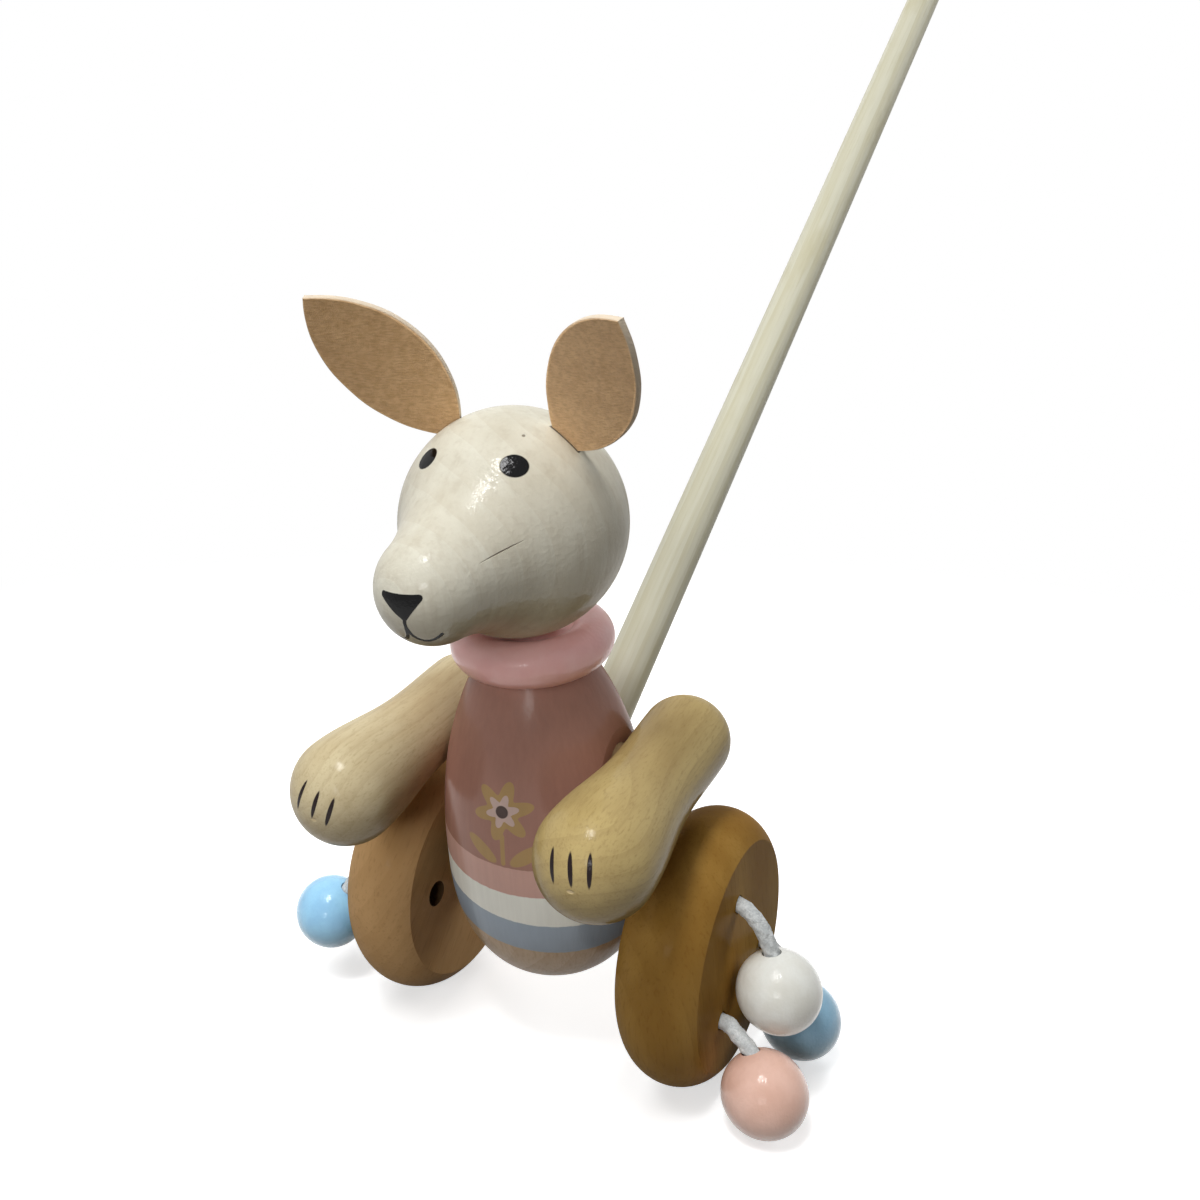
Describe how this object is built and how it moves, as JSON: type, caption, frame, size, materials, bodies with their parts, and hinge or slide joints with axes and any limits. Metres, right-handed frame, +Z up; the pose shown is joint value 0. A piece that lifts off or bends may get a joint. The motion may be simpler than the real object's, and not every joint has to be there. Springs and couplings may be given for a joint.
{
  "type": "toddler push toy",
  "caption": "Push-along wooden kangaroo on two wheels with a long stick, felt ears, turned arms and painted beads that hang on cords from the wheels",
  "frame": {"origin": "On the floor, midway between the two wheels, straight below the axle", "axes": "+Z up, the figure faces -Y, +Y runs back along the stick, +X is the figure's left side and the axle's direction"},
  "size_m": [0.1479, 0.4185, 0.3386],
  "materials": {
    "painted_jumper": "satin paint over wood",
    "pink_lacquer": "satin lacquer over wood",
    "bare_wood": "bare sanded wood",
    "cream_lacquer": "glossy clear lacquer over pale wood",
    "tan_felt": "pressed felt",
    "tan_lacquer": "glossy clear lacquer over wood",
    "pale_wood": "smooth sanded wood",
    "ochre_stain": "glossy lacquer over stained wood",
    "cotton_cord": "soft spun cotton",
    "bead_cream": "glossy paint over wood",
    "bead_peach": "glossy paint over wood",
    "bead_blue": "glossy paint over wood"
  },
  "bodies": {
    "figure": {"torso": "painted_jumper", "collar": "pink_lacquer", "neck_dowel": "bare_wood", "head": "cream_lacquer", "ear_left": "tan_felt", "ear_right": "tan_felt", "handle_rod": "pale_wood"},
    "arms": {"arm_left": "tan_lacquer", "arm_right": "tan_lacquer", "shoulder_dowel": "bare_wood"},
    "wheelset": {"axle": "bare_wood", "wheel_left": "ochre_stain", "wheel_right": "ochre_stain", "cord_left_cream": "cotton_cord", "cord_left_pink": "cotton_cord", "cord_left_blue": "cotton_cord", "cord_right_cream": "cotton_cord", "cord_right_pink": "cotton_cord", "cord_right_blue": "cotton_cord"},
    "hung_left_cream": {"bead_left_cream": "bead_cream"},
    "hung_left_pink": {"bead_left_pink": "bead_peach"},
    "hung_left_blue": {"bead_left_blue": "bead_blue"},
    "hung_right_cream": {"bead_right_cream": "bead_cream"},
    "hung_right_pink": {"bead_right_pink": "bead_peach"},
    "hung_right_blue": {"bead_right_blue": "bead_blue"}
  },
  "joints": [
    {"name": "wheels_turn", "type": "hinge", "parent": "figure", "child": "wheelset", "pos_m": [0, 0, 0.034], "axis": [1, 0, 0], "continuous": true},
    {"name": "arms_swing", "type": "hinge", "parent": "figure", "child": "arms", "pos_m": [0, -0.012, 0.08306], "axis": [1, 0, 0], "range_deg": [-25, 25]},
    {"name": "bead_left_cream_swing", "type": "hinge", "parent": "wheelset", "child": "hung_left_cream", "pos_m": [0.0492, -0.00419, 0.04965], "axis": [1, 0, 0], "range_deg": [0, 60], "deforming": ["cord_left_cream"]},
    {"name": "bead_left_pink_swing", "type": "hinge", "parent": "wheelset", "child": "hung_left_pink", "pos_m": [0.0492, -0.01145, 0.02254], "axis": [1, 0, 0], "range_deg": [-60, 0], "deforming": ["cord_left_pink"]},
    {"name": "bead_left_blue_swing", "type": "hinge", "parent": "wheelset", "child": "hung_left_blue", "pos_m": [0.0492, 0.01565, 0.02981], "axis": [1, 0, 0], "range_deg": [0, 60], "deforming": ["cord_left_blue"]},
    {"name": "bead_right_cream_swing", "type": "hinge", "parent": "wheelset", "child": "hung_right_cream", "pos_m": [-0.0492, 0.0071, 0.01944], "axis": [1, 0, 0], "range_deg": [0, 30], "deforming": ["cord_right_cream"]},
    {"name": "bead_right_pink_swing", "type": "hinge", "parent": "wheelset", "child": "hung_right_pink", "pos_m": [-0.0492, 0.00906, 0.04743], "axis": [1, 0, 0], "range_deg": [-60, 0], "deforming": ["cord_right_pink"]},
    {"name": "bead_right_blue_swing", "type": "hinge", "parent": "wheelset", "child": "hung_right_blue", "pos_m": [-0.0492, -0.01616, 0.03513], "axis": [1, 0, 0], "range_deg": [-60, 0], "deforming": ["cord_right_blue"]}
  ]
}
